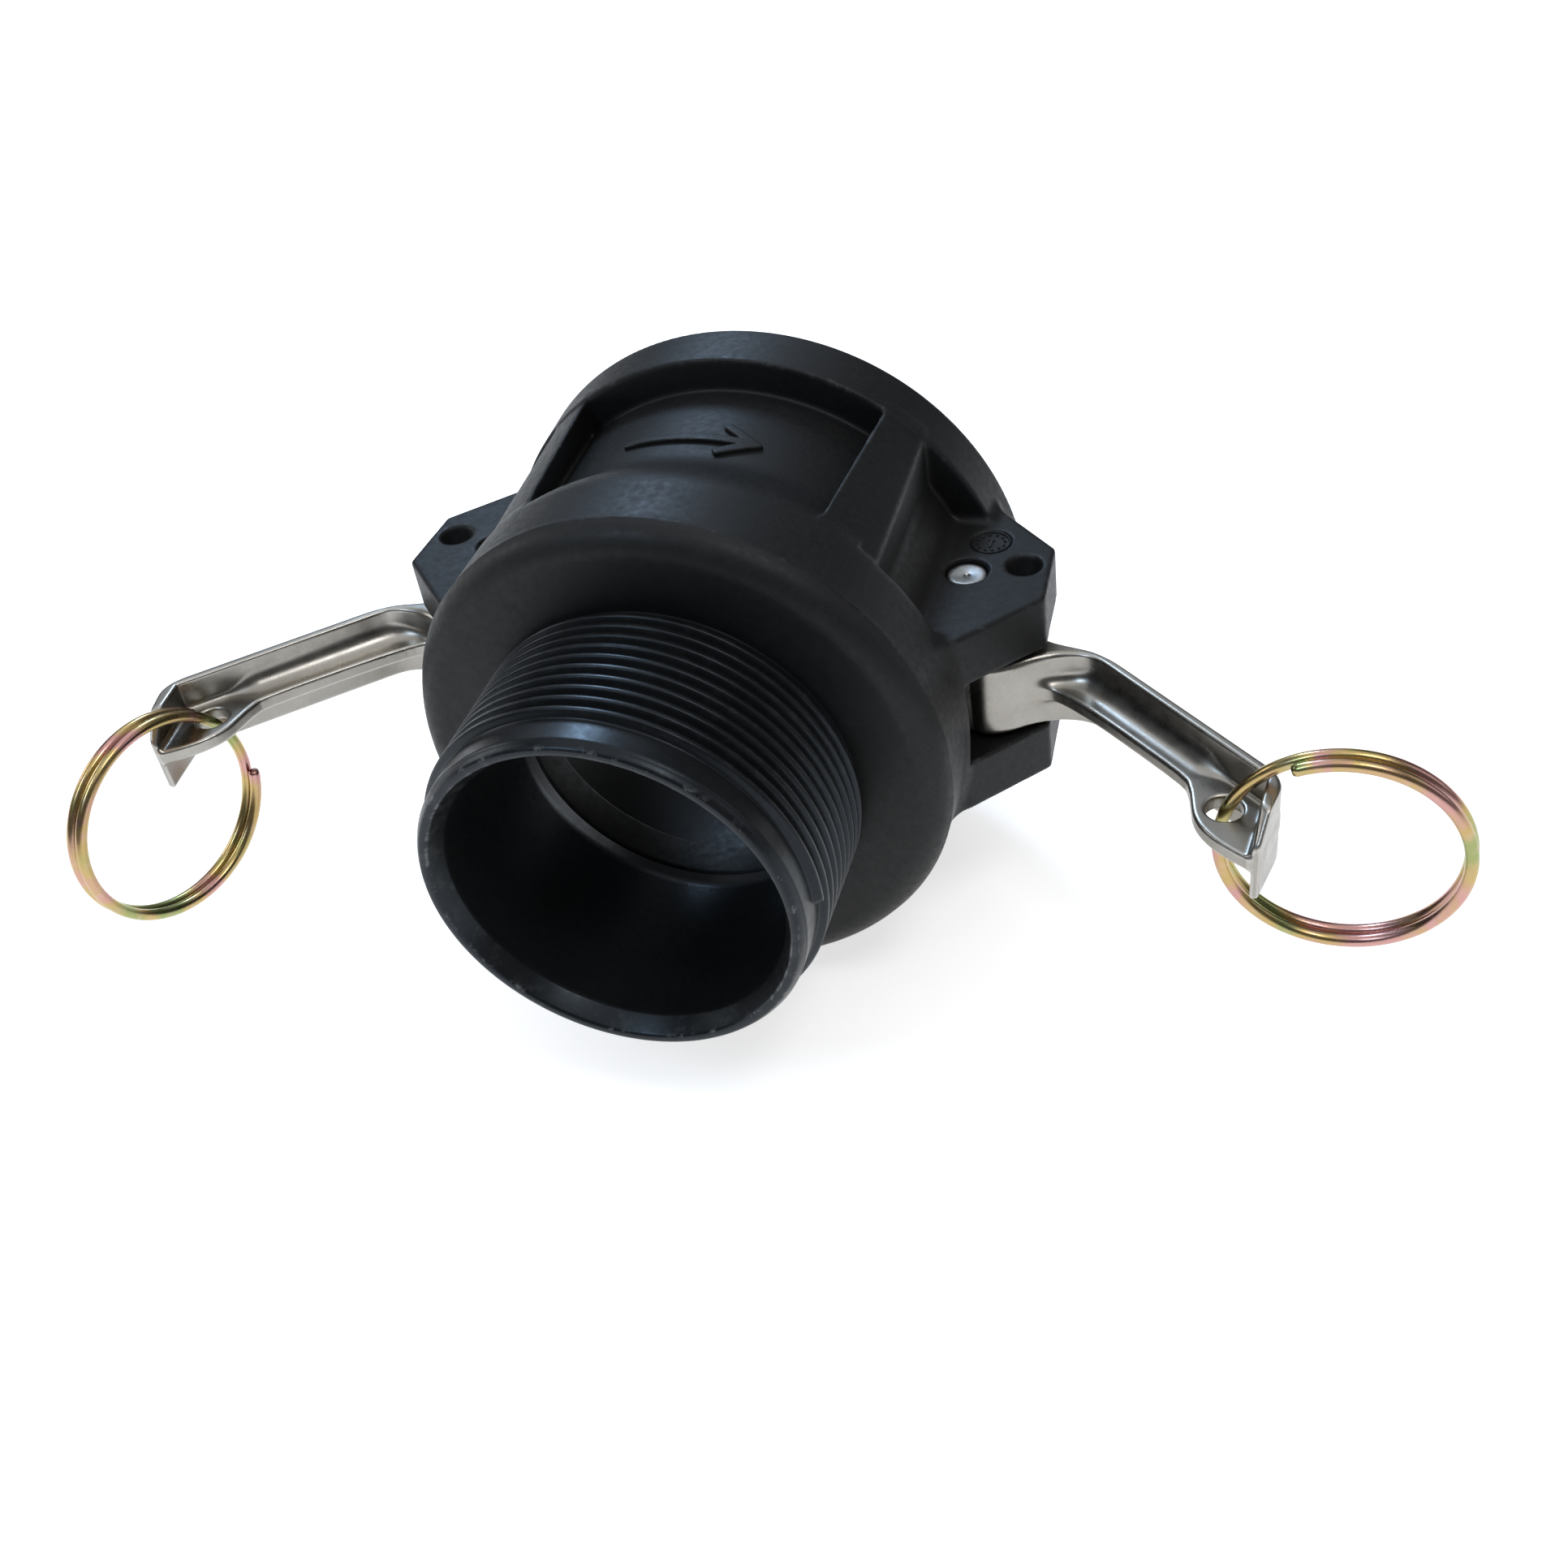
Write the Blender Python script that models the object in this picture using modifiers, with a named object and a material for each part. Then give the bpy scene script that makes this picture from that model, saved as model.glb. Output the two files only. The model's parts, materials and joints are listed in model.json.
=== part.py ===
"""Camlock coupling: female socket with two cam arms, male threaded spigot.

Lying on its side as it is used on a bench: the coupling axis runs along Y with the
threaded end towards -Y, the two pivot pins stand along Z and the arms open sideways.
Lengths are in millimetres and are turned into metres by MM.
"""
import math

import bmesh
import bpy
from mathutils import Matrix, Vector

MM = 0.001

# ---- driving dimensions -------------------------------------------------------
AXIS_X, AXIS_Z = -10.95, 43.4       # where the coupling axis stands in the frame
Y_SHIFT = -42.3                      # thread end face lies at this Y

PITCH = 2.309                        # G 2 parallel pipe thread
THREAD_CREST = 29.8                  # half of 59.6
THREAD_ROOT = 28.4
THREAD_END = 26.6                    # the last turn runs out here
SPIGOT_LAND = 29.2                   # plain land between thread and flange
BORE_R = 25.0
FLANGE_Y = 29.5                      # flat face around the spigot
FLAT_R = 36.6
SHOULDER_R = 41.85
SHOULDER_END = 43.5
CORE_R = 37.7
FLARE_END = 57.2                     # the flare runs out on the panel floor
POCKET_Y = 44.5                      # front face of the pockets beside the lugs
RIM_Y = 75.4
RIM_R = 43.4
BODY_LEN = 84.6
SOCKET_R = 31.75                     # takes a 62.99 adapter
GASKET_Y0, GASKET_Y1 = 33.2, 40.2
RECESS_R = 33.6

RIB_X0, RIB_X1 = 22.5, 30.5
LUG_Z = 16.2
SLOT_Z = 7.35
SLOT_Y0, SLOT_Y1 = 44.8, 74.6
WINDOW_Y0, WINDOW_Y1 = 49.2, 73.2
PIN_X, PIN_Y = 38.9, 61.8
PIN_R = 3.2
PIN_FIT = 0.05                       # radial clearance in the lug
PIN_HALF = 15.5
MARK_H = 0.7                         # how far the flow mark stands proud
DIMPLE = (47.2, 64.1, 2.8)           # x, y and radius at the lug's face
DIMPLE_DEPTH, DIMPLE_TAPER = 4.2, 0.42
STAMP = (41.0, 69.8, 3.1)

ARM_ANGLE = 41.6                     # handle swung this far forward of sideways
ARM_HALF = 6.5                       # half the height of the cam head and back flange
ARM_SAG = -0.33                      # the arm rests on the lower cheek of its slot
WEB_HALF = 1.2
BACK_M = 10.36                       # back face of the handle, from the pin
FLANGE_M = 8.86
WEB_M = 4.6
ARM_BORE = 3.28
CAM_R = 10.5
HEAD_BACK_R = 6.3
WALL_LEAN = 126.2                    # direction of the end wall in the plane of swing
RING_HOLE = (51.6, 4.2, 2.6)

WIRE_R = 0.93
RING_R = 16.55
RING_PITCH = 2.02
RIGHT_HANG = (41.6, 16.2, 228.0, 1)    # swivel, droop, where the wire starts, which way it winds
LEFT_HANG = (-30.5, 31.6, 140.0, -1)


# ---- helpers ------------------------------------------------------------------
def clear_scene():
    for ob in list(bpy.data.objects):
        bpy.data.objects.remove(ob, do_unlink=True)


def collection(name, hide=False):
    col = bpy.data.collections.new(name)
    bpy.context.scene.collection.children.link(col)
    col.hide_render = hide
    return col


def material(name, rgb, metallic, rough):
    mat = bpy.data.materials.new(name)
    mat.use_nodes = True
    node = mat.node_tree.nodes["Principled BSDF"]
    node.inputs["Base Color"].default_value = (*rgb, 1.0)
    node.inputs["Metallic"].default_value = metallic
    node.inputs["Roughness"].default_value = rough
    return mat


def solid_from(bm, name, col):
    """A mesh object from a bmesh in millimetres, in the coupling's own axes."""
    bmesh.ops.scale(bm, vec=(MM, MM, MM), verts=bm.verts)
    bmesh.ops.recalc_face_normals(bm, faces=bm.faces)
    mesh = bpy.data.meshes.new(name)
    bm.to_mesh(mesh)
    bm.free()
    ob = bpy.data.objects.new(name, mesh)
    col.objects.link(ob)
    return ob


def grid_solid(name, verts, faces, col):
    """A closed mesh from computed millimetre points, for the thread that no primitive makes."""
    mesh = bpy.data.meshes.new(name)
    mesh.from_pydata(verts, [], faces)
    bm = bmesh.new()
    bm.from_mesh(mesh)
    bpy.data.meshes.remove(mesh)
    return solid_from(bm, name, col)


def box(name, x, y, z, col):
    bm = bmesh.new()
    bmesh.ops.create_cube(bm, size=1.0)
    bmesh.ops.scale(bm, vec=(x[1] - x[0], y[1] - y[0], z[1] - z[0]), verts=bm.verts)
    bmesh.ops.translate(bm, vec=((x[0] + x[1]) / 2, (y[0] + y[1]) / 2, (z[0] + z[1]) / 2), verts=bm.verts)
    return solid_from(bm, name, col)


def rod(name, at, z0, z1, r0, r1, seg, col):
    """Upright cylinder or cone, radius r0 at z0 and r1 at z1."""
    bm = bmesh.new()
    bmesh.ops.create_cone(bm, cap_ends=True, segments=seg, radius1=r0, radius2=r1, depth=z1 - z0)
    bmesh.ops.translate(bm, vec=(at[0], at[1], (z0 + z1) / 2), verts=bm.verts)
    return solid_from(bm, name, col)


def curve_solid(curve, name, col, height=0.0):
    """The curve's solid as a mesh object, its caps welded on."""
    guide = bpy.data.objects.new(name, curve)
    guide.location.z = height
    col.objects.link(guide)
    bpy.context.view_layer.update()
    mesh = bpy.data.meshes.new_from_object(guide.evaluated_get(bpy.context.evaluated_depsgraph_get()))
    mesh.transform(guide.matrix_world)
    bm = bmesh.new()
    bm.from_mesh(mesh)
    bmesh.ops.remove_doubles(bm, verts=bm.verts, dist=0.000004)
    bmesh.ops.recalc_face_normals(bm, faces=bm.faces)
    bm.to_mesh(mesh)
    bm.free()
    bpy.data.objects.remove(guide, do_unlink=True)
    ob = bpy.data.objects.new(name, mesh)
    col.objects.link(ob)
    return ob


def prism(name, outline, z0, z1, col):
    """A flat outline of (x, y) points, filled and extruded from z0 to z1."""
    curve = bpy.data.curves.new(name, "CURVE")
    curve.dimensions = "2D"
    curve.fill_mode = "BOTH"
    curve.extrude = (z1 - z0) / 2 * MM
    line = curve.splines.new("POLY")
    line.points.add(len(outline) - 1)
    for point, (x, y) in zip(line.points, outline):
        point.co = (x * MM, y * MM, 0.0, 1.0)
    line.use_cyclic_u = True
    return curve_solid(curve, name, col, (z0 + z1) / 2 * MM)


def revolve(name, profile, steps, col):
    """Closed (r, y) profile screwed once round the Y axis."""
    closed = profile + [profile[0]]
    mesh = bpy.data.meshes.new(name)
    edges = [(i, i + 1) for i in range(len(closed) - 1)]
    mesh.from_pydata([(r * MM, y * MM, 0.0) for r, y in closed], edges, [])
    ob = bpy.data.objects.new(name, mesh)
    col.objects.link(ob)
    mod = ob.modifiers.new("turn", "SCREW")
    mod.axis = "Y"
    mod.steps = mod.render_steps = steps
    mod.use_merge_vertices = True
    mod.merge_threshold = 0.00001
    return settle(ob)


def arc(cx, cy, r, a0, a1, n):
    angles = [math.radians(a0 + (a1 - a0) * i / n) for i in range(n + 1)]
    return [(cx + r * math.cos(a), cy + r * math.sin(a)) for a in angles]


def settle(ob):
    """Replace the object's mesh by its evaluated one, cleaned and facing outwards."""
    dg = bpy.context.evaluated_depsgraph_get()
    mesh = bpy.data.meshes.new_from_object(ob.evaluated_get(dg))
    bm = bmesh.new()
    bm.from_mesh(mesh)
    bmesh.ops.remove_doubles(bm, verts=bm.verts, dist=0.000004)
    bmesh.ops.dissolve_degenerate(bm, edges=bm.edges, dist=0.000001)
    bmesh.ops.recalc_face_normals(bm, faces=bm.faces)
    bm.to_mesh(mesh)
    bm.free()
    ob.modifiers.clear()
    ob.data = mesh
    return ob


def combine(ob, other, how):
    """EXACT Boolean of ob with other, applied straight away."""
    mod = ob.modifiers.new(how.lower(), "BOOLEAN")
    mod.operation = how
    mod.solver = "EXACT"
    mod.object = other
    bpy.context.view_layer.update()
    settle(ob)
    other.display_type = "WIRE"
    other.hide_render = True
    return ob


def place(ob, name, mat, col, origin=(0.0, 0.0, 0.0)):
    """Move the finished mesh into the frame with its origin on its own axis."""
    ob.data.transform(Matrix.Translation(Vector([-c * MM for c in origin])))
    ob.location = Vector([(a + b) * MM for a, b in zip((AXIS_X, Y_SHIFT, AXIS_Z), origin)])
    ob.name = name
    ob.data.name = name
    ob.data.materials.clear()
    ob.data.materials.append(mat)
    for old in list(ob.users_collection):
        old.objects.unlink(ob)
    col.objects.link(ob)
    ob.hide_render = False
    ob.display_type = "TEXTURED"
    for poly in ob.data.polygons:
        poly.use_smooth = True
    ob.data.set_sharp_from_angle(angle=math.radians(32))
    return ob


# ---- threaded spigot ----------------------------------------------------------
def threaded_spigot(col):
    """Solid spigot whose flank follows one right-hand helix, four rows to a pitch."""
    seg = 48
    rows_per = 4
    start = 3.4
    turns = (THREAD_END - start) / PITCH
    rows = int(turns) * rows_per + 1
    shape = [THREAD_ROOT, THREAD_CREST, THREAD_CREST, THREAD_ROOT]
    where = [0.0, 0.34, 0.66, 1.0]
    verts, faces = [], []

    def ring(r, y):
        base = len(verts)
        for i in range(seg):
            a = 2 * math.pi * i / seg
            verts.append((r * math.cos(a), y, r * math.sin(a)))
        return base

    # front disc, lead chamfer and a land just under the root
    front = len(verts)
    verts.append((0.0, 0.0, 0.0))
    r0 = ring(27.6, 0.0)
    r1 = ring(28.35, 1.2)
    for i in range(seg):
        j = (i + 1) % seg
        faces.append((front, r0 + i, r0 + j))
        faces.append((r0 + i, r1 + i, r1 + j, r0 + j))
    # helical rows; column seg of a row is column 0 of the row one pitch further on
    grid = {}
    for k in range(rows):
        turn, phase = divmod(k, rows_per)
        for i in range(seg):
            y = start + PITCH * (turn + i / seg) + PITCH * where[phase] * 0.75
            a = 2 * math.pi * i / seg
            r = shape[phase]
            verts.append((r * math.cos(a), y, r * math.sin(a)))
            grid[(k, i)] = len(verts) - 1

    def at(k, i):
        return grid[(k + rows_per, 0)] if i == seg else grid[(k, i)]

    for k in range(rows - 1):
        for i in range(seg):
            if i == seg - 1 and k + 1 + rows_per >= rows:
                continue
            faces.append((at(k, i), at(k + 1, i), at(k + 1, i + 1), at(k, i + 1)))
    # front: fan the first helical row onto the land ring, closing the blunt start
    for i in range(seg - 1):
        faces.append((r1 + i, at(0, i), at(0, i + 1), r1 + i + 1))
    faces.append((r1 + seg - 1, at(0, seg - 1), at(rows_per, 0), at(rows_per - 1, 0), at(2, 0),
                  at(1, 0), at(0, 0), r1))
    # back: the last row runs onto a plain land
    last = rows - 1
    r2 = ring(28.35, THREAD_END + 1.3)
    r3 = ring(SPIGOT_LAND, THREAD_END + 1.8)
    r4 = ring(SPIGOT_LAND, FLANGE_Y + 3.0)
    end = len(verts)
    verts.append((0.0, FLANGE_Y + 3.0, 0.0))
    for i in range(seg - 1):
        faces.append((at(last, i), r2 + i, r2 + i + 1, at(last, i + 1)))
    faces.append((at(last - 4, seg - 1), at(last - 3, seg - 1), at(last - 2, seg - 1),
                  at(last - 1, seg - 1), at(last, seg - 1), r2 + seg - 1, r2, at(last, 0)))
    for i in range(seg):
        j = (i + 1) % seg
        faces.append((r2 + i, r3 + i, r3 + j, r2 + j))
        faces.append((r3 + i, r4 + i, r4 + j, r3 + j))
        faces.append((r4 + i, end, r4 + j))
    return grid_solid("spigot", verts, faces, col)


# ---- body ---------------------------------------------------------------------
def build_body(col, tools, mat):
    core = revolve("core", [
        (0.0, FLANGE_Y), (FLAT_R, FLANGE_Y), (38.6, 29.85), (40.4, 30.85), (41.5, 32.2),
        (SHOULDER_R, 33.6), (SHOULDER_R, SHOULDER_END), (41.5, 45.6), (40.4, 48.6), (39.0, 52.0),
        (38.05, 54.4), (CORE_R, FLARE_END), (CORE_R, RIM_Y), (RIM_R - 0.5, RIM_Y), (RIM_R, RIM_Y + 0.5),
        (RIM_R, BODY_LEN - 0.9), (RIM_R - 0.9, BODY_LEN), (0.0, BODY_LEN)], 64, tools)
    cut_side_pockets(core, tools)
    combine(core, threaded_spigot(tools), "UNION")
    add_ribs(core, tools)
    add_lugs(core, tools)
    add_flow_mark(core, tools)

    # through bore: lead-in, bore, gasket recess, socket and mouth chamfer
    hollow = revolve("hollow", [
        (0.0, -2.0), (26.6, -2.0), (26.6, 0.0), (BORE_R, 2.9), (BORE_R, GASKET_Y0),
        (RECESS_R, GASKET_Y0), (RECESS_R, GASKET_Y1 + 0.3), (SOCKET_R, GASKET_Y1 + 0.3),
        (SOCKET_R, BODY_LEN - 1.6), (SOCKET_R + 1.6, BODY_LEN), (SOCKET_R + 1.6, BODY_LEN + 2.0),
        (0.0, BODY_LEN + 2.0)], 64, tools)
    combine(core, hollow, "DIFFERENCE")
    for side in (1, -1):
        cut_lug(core, side, tools)
    stamp = rod("stamp", STAMP[:2], LUG_Z - 0.25, 20.0, STAMP[2], STAMP[2], 24, tools)
    combine(core, stamp, "DIFFERENCE")
    return place(core, "coupler_body", mat, col)


def cut_side_pockets(core, tools):
    """Beside the lugs the outside drops straight to the core, without the flare."""
    profile = [(CORE_R, POCKET_Y), (50.0, POCKET_Y), (50.0, RIM_Y), (CORE_R, RIM_Y)]
    sleeve = revolve("sleeve", profile, 64, tools)
    along = (POCKET_Y - 1.0, RIM_Y + 1.0)
    sides = box("sides", (RIB_X1, 50.0), along, (-50.0, 50.0), tools)
    combine(sides, box("other_side", (-50.0, -RIB_X1), along, (-50.0, 50.0), tools), "UNION")
    combine(sleeve, sides, "INTERSECT")
    combine(core, sleeve, "DIFFERENCE")


def add_ribs(core, tools):
    """Ribs beside the recessed panels, above and below."""
    profile = [(0.0, 38.0), (41.75, 38.0), (41.75, 43.0), (42.9, RIM_Y + 1.0), (0.0, RIM_Y + 1.0)]
    ribs = revolve("ribs", profile, 64, tools)
    bars = box("bars", (RIB_X0, RIB_X1), (37.0, 80.0), (-50.0, 50.0), tools)
    combine(bars, box("other_bars", (-RIB_X1, -RIB_X0), (37.0, 80.0), (-50.0, 50.0), tools), "UNION")
    combine(ribs, bars, "INTERSECT")
    combine(core, ribs, "UNION")


def add_lugs(core, tools):
    """The two forked lugs, solid until cut_lug opens them."""
    right = [(33.0, 40.6), (37.6, 40.6), (50.6, 54.75)]
    right += arc(50.3, 56.3, 1.45, -42, 0, 3)[1:]
    right += arc(49.8, 68.0, 1.9, 2, 45, 3) + [(39.3, 81.2), (33.0, 81.2)]
    left = [(-x, y) for x, y in reversed(right)]
    combine(core, prism("lug_right", right, -LUG_Z, LUG_Z, tools), "UNION")
    combine(core, prism("lug_left", left, -LUG_Z, LUG_Z, tools), "UNION")


def add_flow_mark(core, tools):
    """Generic raised flow arrow on the upper panel."""
    arrow = [(-12.0, 59.95), (6.4, 59.95), (3.0, 57.55), (3.85, 56.35), (10.1, 60.7), (3.85, 65.05),
             (3.0, 63.85), (6.4, 61.45), (-12.0, 61.45)]
    mark = prism("mark", arrow, 30.0, 45.0, tools)
    top = CORE_R + MARK_H
    skin = revolve("skin", [(30.0, 50.0), (top, 50.0), (top, 70.0), (30.0, 70.0)], 64, tools)
    combine(mark, skin, "INTERSECT")
    combine(core, mark, "UNION")


def cut_lug(core, side, tools):
    """Slot for the arm, window into the socket, pivot hole and the four conical dimples."""
    def span(a, b):
        return tuple(sorted((side * a, side * b)))

    inside = (-SLOT_Z, SLOT_Z)
    combine(core, box("slot", span(36.6, 60.0), (SLOT_Y0, SLOT_Y1), inside, tools), "DIFFERENCE")
    combine(core, box("window", span(26.0, 38.0), (WINDOW_Y0, WINDOW_Y1), inside, tools), "DIFFERENCE")
    hole_r = PIN_R + PIN_FIT
    pin_hole = rod("pin_hole", (side * PIN_X, PIN_Y), -20.0, 20.0, hole_r, hole_r, 28, tools)
    combine(core, pin_hole, "DIFFERENCE")
    x, y, r = DIMPLE
    tip_r = r - DIMPLE_TAPER * DIMPLE_DEPTH
    mouth_r = r + DIMPLE_TAPER
    for z0, z1, r0, r1 in ((LUG_Z - DIMPLE_DEPTH, LUG_Z + 1.0, tip_r, mouth_r),
                           (-LUG_Z - 1.0, DIMPLE_DEPTH - LUG_Z, mouth_r, tip_r)):
        combine(core, rod("dimple", (side * x, y), z0, z1, r0, r1, 20, tools), "DIFFERENCE")


def build_gasket(col, tools, mat):
    g = 0.3
    ob = revolve("gasket", [
        (BORE_R + 0.1, GASKET_Y0 + g), (RECESS_R - g, GASKET_Y0 + g), (RECESS_R - g, GASKET_Y1),
        (BORE_R + 0.6, GASKET_Y1), (BORE_R + 0.1, GASKET_Y1 - 0.5)], 64, tools)
    return place(ob, "gasket", mat, col)


# ---- cam arm ------------------------------------------------------------------
def arm_matrix(side, angle=ARM_ANGLE):
    """Arm axes to coupling axes: s along the handle, m outwards, z along the pin."""
    t = math.radians(angle)
    return Matrix(((side * math.cos(t), side * math.sin(t), 0.0, side * PIN_X * MM),
                   (-math.sin(t), math.cos(t), 0.0, PIN_Y * MM),
                   (0.0, 0.0, 1.0, ARM_SAG * MM),
                   (0.0, 0.0, 0.0, 1.0)))


def arm_outline():
    """Seen along the pin: cam, head, back flange and end wall, counter-clockwise."""
    line = arc(0, 0, CAM_R, -88, -40, 8)
    line += [(9.9, -5.8), (11.3, -4.3), (12.3, -2.0), (12.9, 0.6), (13.6, 2.8), (14.5, 4.7),
             (15.7, 6.3), (17.2, 7.7), (19.0, 8.6), (21.0, FLANGE_M)]
    line += [(54.8, FLANGE_M), (61.15, 0.0), (62.0, 0.9), (58.6, 7.0), (57.4, 8.8), (55.4, 10.0),
             (53.0, BACK_M)]
    line += [(22.5, BACK_M), (19.5, 10.1), (17.5, 9.55), (14.1, 8.2), (10.9, 6.9), (7.5, 6.35),
             (3.2, HEAD_BACK_R)]
    return line + arc(0, 0, HEAD_BACK_R, 92, 212, 12) + [(-3.4, -7.6)]


def web_outline():
    """The web between the head and the end wall, dipping where the ring's eye is."""
    return [(12.4, 1.4), (14.0, 2.9), (16.5, 3.7), (20.0, 4.2), (30.0, 4.5), (42.5, 4.5), (45.2, 3.5),
            (47.4, 1.9), (49.6, 0.2), (52.0, -0.8), (55.0, -1.1), (58.0, -0.9), (61.2, -0.35), (59.2, 4.6),
            (55.8, 9.2), (46.0, 9.6), (20.0, 9.6), (12.4, 6.0)]


def build_arm(name, side, col, tools, mat):
    arm = prism("arm_outline", arm_outline(), -ARM_HALF, ARM_HALF, tools)

    # T section: a web in the plane of swing, filleted into the back flange
    half = [(WEB_M, WEB_HALF), (6.0, 1.35), (7.2, 2.0), (8.2, 3.1), (8.75, 4.6), (9.6, 4.7)]
    section = prism("arm_section", half + [(m, -z) for m, z in reversed(half)], 14.6, 47.5, tools)
    section.data.transform(Matrix(((0, 0, 1, 0), (1, 0, 0, 0), (0, 1, 0, 0), (0, 0, 0, 1))))
    combine(arm, section, "UNION")
    combine(arm, prism("arm_web", web_outline(), -WEB_HALF, WEB_HALF, tools), "UNION")

    # the end wall's upper front corner is cut away for the ring
    trim = prism("arm_trim", [(-1.0, 0.95), (7.1, 7.5), (-1.0, 7.5)], -4.0, 4.0, tools)
    lean = math.radians(WALL_LEAN)
    c, d = math.cos(lean), math.sin(lean)
    trim.data.transform(Matrix(((c, 0, d, 61.6 * MM), (d, 0, -c, 0.1 * MM), (0, 1, 0, 0), (0, 0, 0, 1))))
    combine(arm, trim, "DIFFERENCE")
    combine(arm, rod("arm_bore", (0, 0), -10.0, 10.0, ARM_BORE, ARM_BORE, 28, tools), "DIFFERENCE")
    eye_s, eye_m, eye_r = RING_HOLE
    combine(arm, rod("arm_eye", (eye_s, eye_m), -10.0, 10.0, eye_r, eye_r, 20, tools), "DIFFERENCE")
    arm.data.transform(arm_matrix(side))
    if side < 0:
        arm.data.flip_normals()
    return place(arm, name, mat, col, origin=(side * PIN_X, PIN_Y, 0.0))


def build_pin(name, side, col, tools, mat):
    """Pivot pin with its ends bevelled."""
    pin = rod("pin", (side * PIN_X, PIN_Y), -PIN_HALF, PIN_HALF, PIN_R, PIN_R, 28, tools)
    bevel = pin.modifiers.new("ends", "BEVEL")
    bevel.width = 0.35 * MM
    bevel.segments = 1
    bevel.limit_method = "ANGLE"
    bevel.angle_limit = math.radians(60)
    return place(settle(pin), name, mat, col, origin=(side * PIN_X, PIN_Y, 0.0))


def ring_points(side, swivel, droop, start, turn, steps):
    """Nearly two turns of wire; the single strand between the ends runs through the eye."""
    t = math.radians(swivel)
    d = math.radians(droop)
    out = Vector((math.cos(t), math.sin(t), 0.0))
    normal = Vector((-math.sin(t), math.cos(t), 0.0))
    radial = out * math.cos(d) - Vector((0.0, 0.0, 1.0)) * math.sin(d)
    tangent = normal.cross(radial)
    eye = Vector((RING_HOLE[0], RING_HOLE[1], 0.0))
    centre = eye + radial * RING_R
    to_eye = (180.0 - start) * turn % 360.0
    pts = []
    for i in range(steps + 1):
        sweep = (to_eye + 350.0) * i / steps
        a = math.radians(start + turn * sweep)
        lift = RING_PITCH * (sweep - to_eye) / 360.0
        pts.append(centre + (radial * math.cos(a) + tangent * math.sin(a)) * RING_R + normal * lift)
    m = arm_matrix(side)
    return [m @ (p * MM) for p in pts], m @ (eye * MM)


def build_ring(name, side, hang, col, tools, mat):
    pts, eye = ring_points(side, *hang, 72)
    curve = bpy.data.curves.new(name, "CURVE")
    curve.dimensions = "3D"
    curve.bevel_depth = WIRE_R * MM
    curve.bevel_resolution = 2
    curve.use_fill_caps = True
    line = curve.splines.new("POLY")
    line.points.add(len(pts) - 1)
    for p, q in zip(line.points, pts):
        p.co = (*q, 1.0)
    ob = curve_solid(curve, name, tools)
    return place(ob, name, mat, col, origin=tuple(c / MM for c in eye))


# ---- assembly -----------------------------------------------------------------
def main():
    clear_scene()
    parts = collection("camlock_coupling")
    tools = collection("cutters", hide=True)
    plastic = material("glass_filled_plastic", (0.032, 0.033, 0.036), 0.0, 0.5)
    rubber = material("gasket_rubber", (0.02, 0.02, 0.021), 0.0, 0.75)
    steel = material("cast_stainless", (0.62, 0.61, 0.59), 1.0, 0.28)
    pin_steel = material("pin_steel", (0.7, 0.7, 0.7), 1.0, 0.25)
    zinc = material("yellow_zinc_wire", (0.66, 0.5, 0.27), 1.0, 0.3)

    build_body(parts, tools, plastic)
    build_gasket(parts, tools, rubber)
    for side, word, hang in ((1, "right", RIGHT_HANG), (-1, "left", LEFT_HANG)):
        build_arm("cam_arm_" + word, side, parts, tools, steel)
        build_pin("pivot_pin_" + word, side, parts, tools, pin_steel)
        build_ring("pull_ring_" + word, side, hang, parts, tools, zinc)
    for ob in list(tools.objects):
        bpy.data.objects.remove(ob, do_unlink=True)


main()
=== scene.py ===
"""Looks of the camlock coupling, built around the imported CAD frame.

Surfaces are written as distance fields in millimetres in the coupling's own axes (Y along the
bore from the thread end, Z along the pivot pins, X towards the right-hand arm) and meshed here,
so that every edge and corner carries the moulded or cast radius of the real part. A field is
negative inside. The thread, gasket, pins and rings are computed grids.
"""
import functools
import json
import math

import bpy
import numpy as np
from mathutils import Matrix, Vector


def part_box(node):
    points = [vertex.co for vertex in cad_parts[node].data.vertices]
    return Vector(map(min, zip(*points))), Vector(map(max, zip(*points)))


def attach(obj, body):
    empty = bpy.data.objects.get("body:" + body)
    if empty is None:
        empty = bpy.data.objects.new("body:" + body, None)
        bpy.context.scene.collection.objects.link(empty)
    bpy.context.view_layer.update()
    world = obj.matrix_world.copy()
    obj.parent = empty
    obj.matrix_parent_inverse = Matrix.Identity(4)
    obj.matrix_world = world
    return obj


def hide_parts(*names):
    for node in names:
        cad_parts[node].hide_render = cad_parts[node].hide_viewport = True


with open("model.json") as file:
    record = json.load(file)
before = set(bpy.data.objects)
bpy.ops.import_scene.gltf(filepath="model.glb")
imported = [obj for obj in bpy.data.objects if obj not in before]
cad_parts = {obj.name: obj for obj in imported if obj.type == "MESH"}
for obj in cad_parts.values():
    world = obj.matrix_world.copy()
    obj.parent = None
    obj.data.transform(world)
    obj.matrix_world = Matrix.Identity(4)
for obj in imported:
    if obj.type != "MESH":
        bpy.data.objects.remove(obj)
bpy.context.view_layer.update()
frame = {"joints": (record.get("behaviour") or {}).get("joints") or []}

MM = 0.001
TAU = 2.0 * math.pi

# ---- places read from the frame, in millimetres ----------------------------------------
body_lo, body_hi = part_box("coupler_body")
AXIS = np.array([(body_lo.x + body_hi.x) / 2, body_lo.y, (body_lo.z + body_hi.z) / 2]) / MM
LENGTH = (body_hi.y - body_lo.y) / MM
joint_at = {j["name"]: np.array(j["pos_m"]) / MM - AXIS for j in frame["joints"]}
PIN_X, PIN_Y = np.abs(joint_at["arm_right_hinge"])[:2]

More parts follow.
